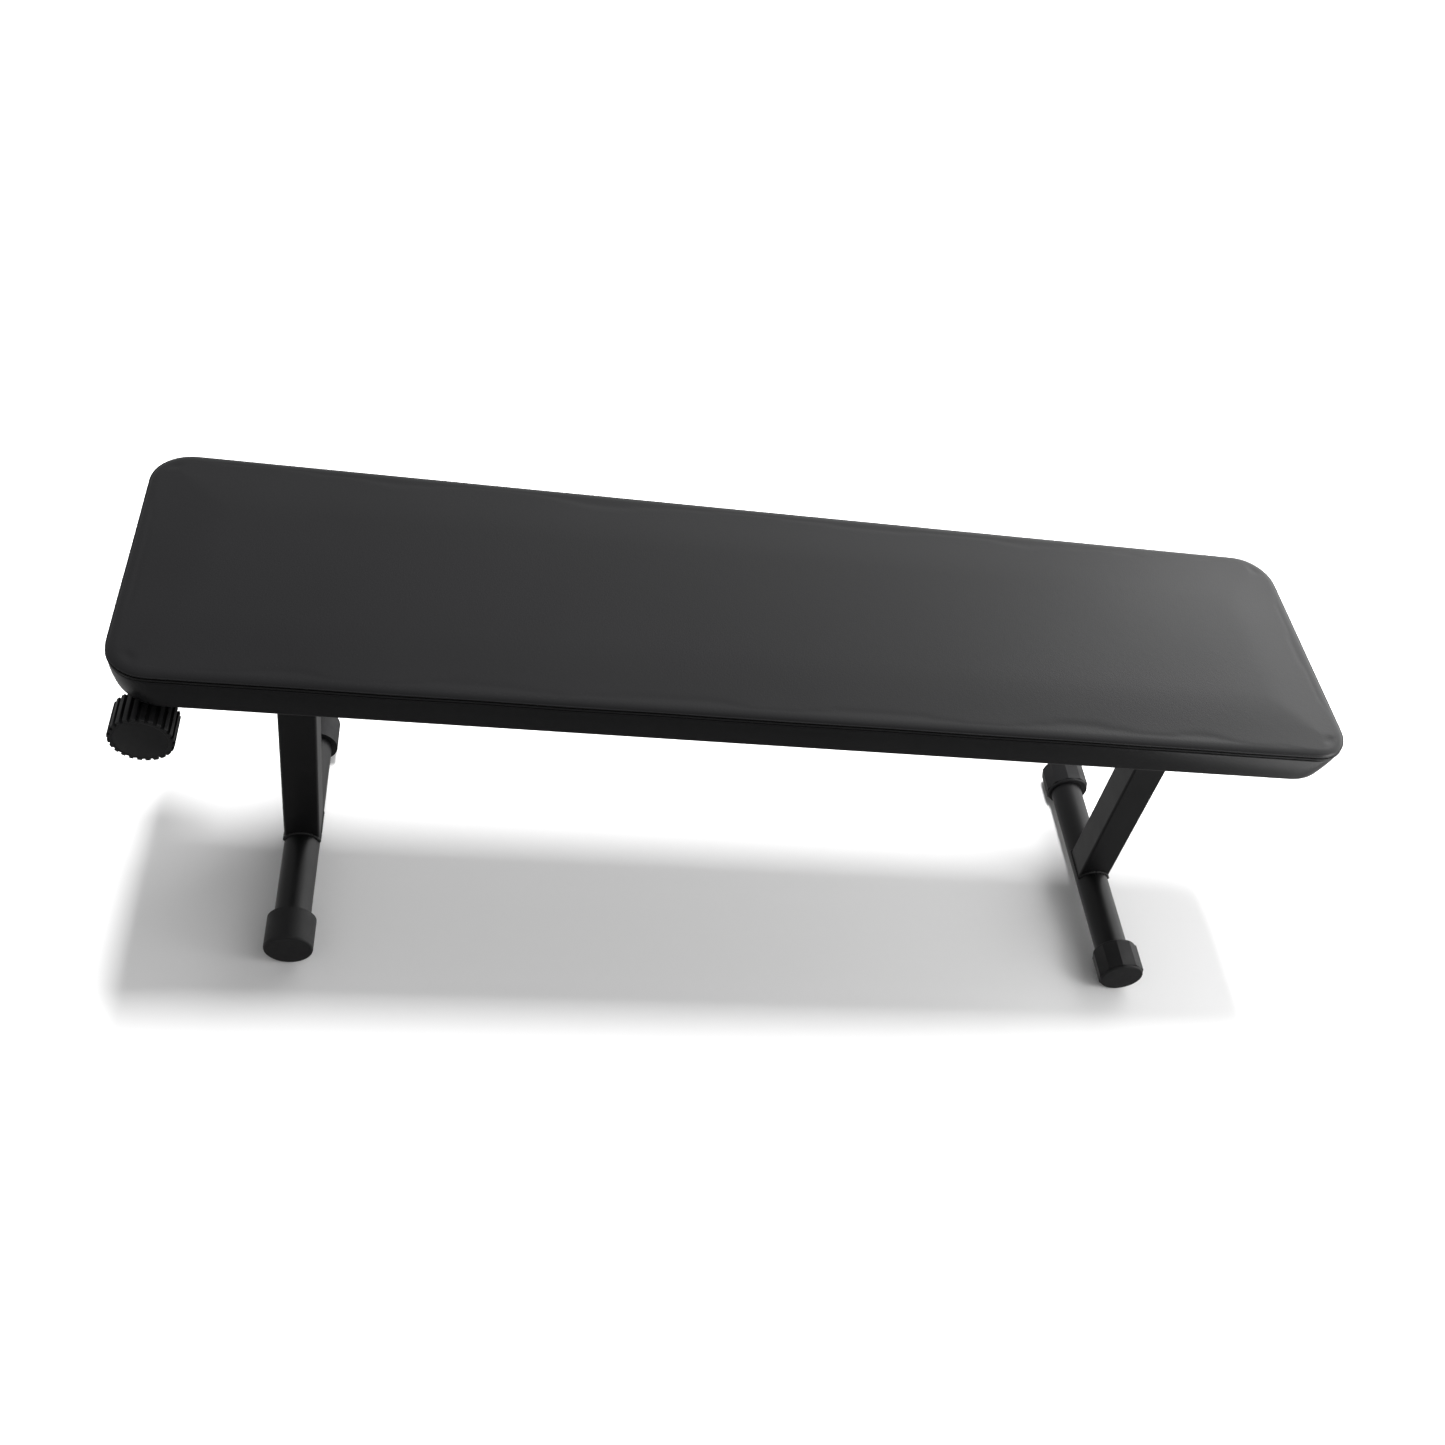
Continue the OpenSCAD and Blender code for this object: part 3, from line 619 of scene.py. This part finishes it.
def soften(node, width, slot):
    """A copy of a CAD node with its sharp edges rounded, in the node's place."""
    mesh = NODES[node].data.copy()
    mesh.name = node + "_finished"
    shape = bmesh.new()
    shape.from_mesh(mesh)
    bmesh.ops.remove_doubles(shape, verts=shape.verts, dist=SAME_POINT)
    bmesh.ops.dissolve_limit(shape, angle_limit=FLAT_ANGLE, verts=shape.verts, edges=shape.edges)
    shape.to_mesh(mesh)
    shape.free()
    mesh.materials.clear()
    mesh.materials.append(SLOT_MATERIALS[slot])
    mesh.shade_smooth()
    obj = bpy.data.objects.new(node + "_finished", mesh)
    bpy.context.scene.collection.objects.link(obj)
    edge = obj.modifiers.new("edges", "BEVEL")
    edge.width = width
    edge.segments = 2
    edge.limit_method = "ANGLE"
    edge.angle_limit = EDGE_ANGLE
    edge.harden_normals = True
    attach(obj, body_with(node))
    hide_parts(node)


# ---------------------------------------------------------------- studio

BRIGHT_SIDE, BRIGHT_POWER = Vector((0.80, 0.42, 0.43)).normalized(), 3.3
BRIGHT_GLOW, ROOM_GLOW = 2.25, 0.42
DIM_SIDE, DIM_SHARE, FILL_SHARE = (0.0, -0.7, -0.7), 0.3, 0.86
# Name, place, target, size, watts and whether it shines on glossy surfaces
SOFTBOXES = (
    ("overhead_near", (-0.18, 0.44, 3.3), (-0.18, 0.44, 0), (0.55, 0.55), 105, False),
    ("overhead_far", (-0.18, 1.02, 3.3), (-0.18, 1.02, 0), (0.55, 0.55), 105, False),
    ("tail_side", (1.25, -0.45, 0.75), (0.5, -0.1, 0.2), (0.4, 0.4), 3, True),
    ("tail_back", (1.85, 1.50, 1.80), (0.5, 0.0, 0.4), (1.0, 1.0), 5, True),
    ("tail_low", (0.95, -0.52, 0.12), (0.55, -0.14, 0.42), (0.5, 0.3), 1.3, True),
)
CAMERA_EYE = Vector((-0.3071, -0.9574, 1.3758))
CAMERA_TARGET = Vector((-0.0546, -0.1458, 0.4260))
CAMERA_ROLL, CAMERA_LENS_MM, CAMERA_FILM_MM = math.radians(16.9), 35.57, 36.0


def make_floor():
    """A plain pale sheet of matte board, which the bench does not mirror."""
    material, tree, shader, place = new_material(
        "matte_studio_board", "#f4f4f4", 0.9, Specular_IOR_Level=0.1)
    tooth = add_node(tree, "ShaderNodeTexNoise", {
        "Vector": place, "Scale": 1 / (4 * MM), "Detail": 2.0, "Roughness": 0.55})
    finish_surface(tree, shader, ((tooth.outputs["Fac"], 0.05 * MM, 0.3),))
    reach = 12.0
    corners = [(-reach, -reach, 0), (reach, -reach, 0), (reach, reach, 0), (-reach, reach, 0)]
    floor = mesh_object("floor", corners, [(0, 1, 2, 3)], material, smooth=False)
    floor.visible_glossy = False


def softbox(name, place, target, size, watts, shines):
    """A rectangular area light that faces a target."""
    light = bpy.data.lights.new(name, "AREA")
    light.shape = "RECTANGLE"
    light.size, light.size_y = size
    light.energy = watts
    obj = bpy.data.objects.new(name, light)
    bpy.context.scene.collection.objects.link(obj)
    obj.location = place
    obj.rotation_euler = (Vector(target) - Vector(place)).to_track_quat("-Z", "Y").to_euler()
    obj.visible_camera = False
    obj.visible_glossy = shines


def make_world():
    """A pale room that is brighter behind the bench, past its tail end, and dimmer low in front.
    It fills shadows a little less than it shines, and looks white itself."""
    world = bpy.data.worlds.new("studio")
    bpy.context.scene.world = world
    world.use_nodes = True
    tree = world.node_tree
    tree.nodes.clear()
    direction = add_node(tree, "ShaderNodeTexCoord").outputs["Generated"]
    facing = add_node(tree, "ShaderNodeVectorMath", {0: direction, 1: BRIGHT_SIDE},
                      operation="DOT_PRODUCT")
    towards = add_node(tree, "ShaderNodeMath", {0: facing.outputs["Value"], 1: 0.0},
                       operation="MAXIMUM")
    lobe = add_node(tree, "ShaderNodeMath", {0: towards.outputs["Value"], 1: BRIGHT_POWER},
                    operation="POWER")
    glow = add_node(tree, "ShaderNodeMath", {
        0: lobe.outputs["Value"], 1: BRIGHT_GLOW, 2: ROOM_GLOW}, operation="MULTIPLY_ADD")
    low_front = add_node(tree, "ShaderNodeVectorMath", {0: direction, 1: DIM_SIDE},
                         operation="DOT_PRODUCT")
    dim = add_node(tree, "ShaderNodeMapRange", {
        "Value": low_front.outputs["Value"], "From Min": 0.55, "From Max": 1.0,
        "To Min": 1.0, "To Max": DIM_SHARE})
    light = add_node(tree, "ShaderNodeMath", {
        0: glow.outputs["Value"], 1: dim.outputs["Result"]}, operation="MULTIPLY")
    ray = add_node(tree, "ShaderNodeLightPath").outputs
    fill = add_node(tree, "ShaderNodeMapRange", {
        "Value": ray["Is Diffuse Ray"], "To Min": 1.0, "To Max": FILL_SHARE})
    strength = add_node(tree, "ShaderNodeMath", {
        0: light.outputs["Value"], 1: fill.outputs["Result"]}, operation="MULTIPLY")
    white = (1, 1, 1, 1)
    room = add_node(tree, "ShaderNodeBackground", {
        "Color": white, "Strength": strength.outputs["Value"]})
    backdrop = add_node(tree, "ShaderNodeBackground", {"Color": white, "Strength": 0.98})
    either = add_node(tree, "ShaderNodeMixShader", {
        0: ray["Is Camera Ray"], 1: room.outputs["Background"],
        2: backdrop.outputs["Background"]})
    add_node(tree, "ShaderNodeOutputWorld", {"Surface": either.outputs["Shader"]})


def make_camera():
    """The camera looks down at the pad from its front, head end first, and is rolled."""
    camera = bpy.data.cameras.new("camera")
    camera.sensor_width = CAMERA_FILM_MM
    camera.lens = CAMERA_LENS_MM
    obj = bpy.data.objects.new("camera", camera)
    bpy.context.scene.collection.objects.link(obj)
    obj.location = CAMERA_EYE
    aim = (CAMERA_TARGET - CAMERA_EYE).to_track_quat("-Z", "Y")
    roll = Matrix.Rotation(CAMERA_ROLL, 3, "Z").to_quaternion()
    obj.rotation_euler = (aim @ roll).to_euler()
    bpy.context.scene.camera = obj


def make_studio():
    """Two overhead lights leave one soft shadow under the bench. The others are at its tail end:
    beside it, high behind it, and low in front of it, for its side to reflect."""
    make_floor()
    make_world()
    for settings in SOFTBOXES:
        softbox(*settings)
    bpy.context.scene.view_settings.view_transform = "Standard"


# ---------------------------------------------------------------- assembly

dress_cad_nodes()
make_pad()
for end in ("head", "tail"):
    make_leg_welds(end)
make_frame_welds()
for node_name, (edge_width, slot_name) in SOFTENED.items():
    soften(node_name, edge_width, slot_name)
make_camera()
make_studio()
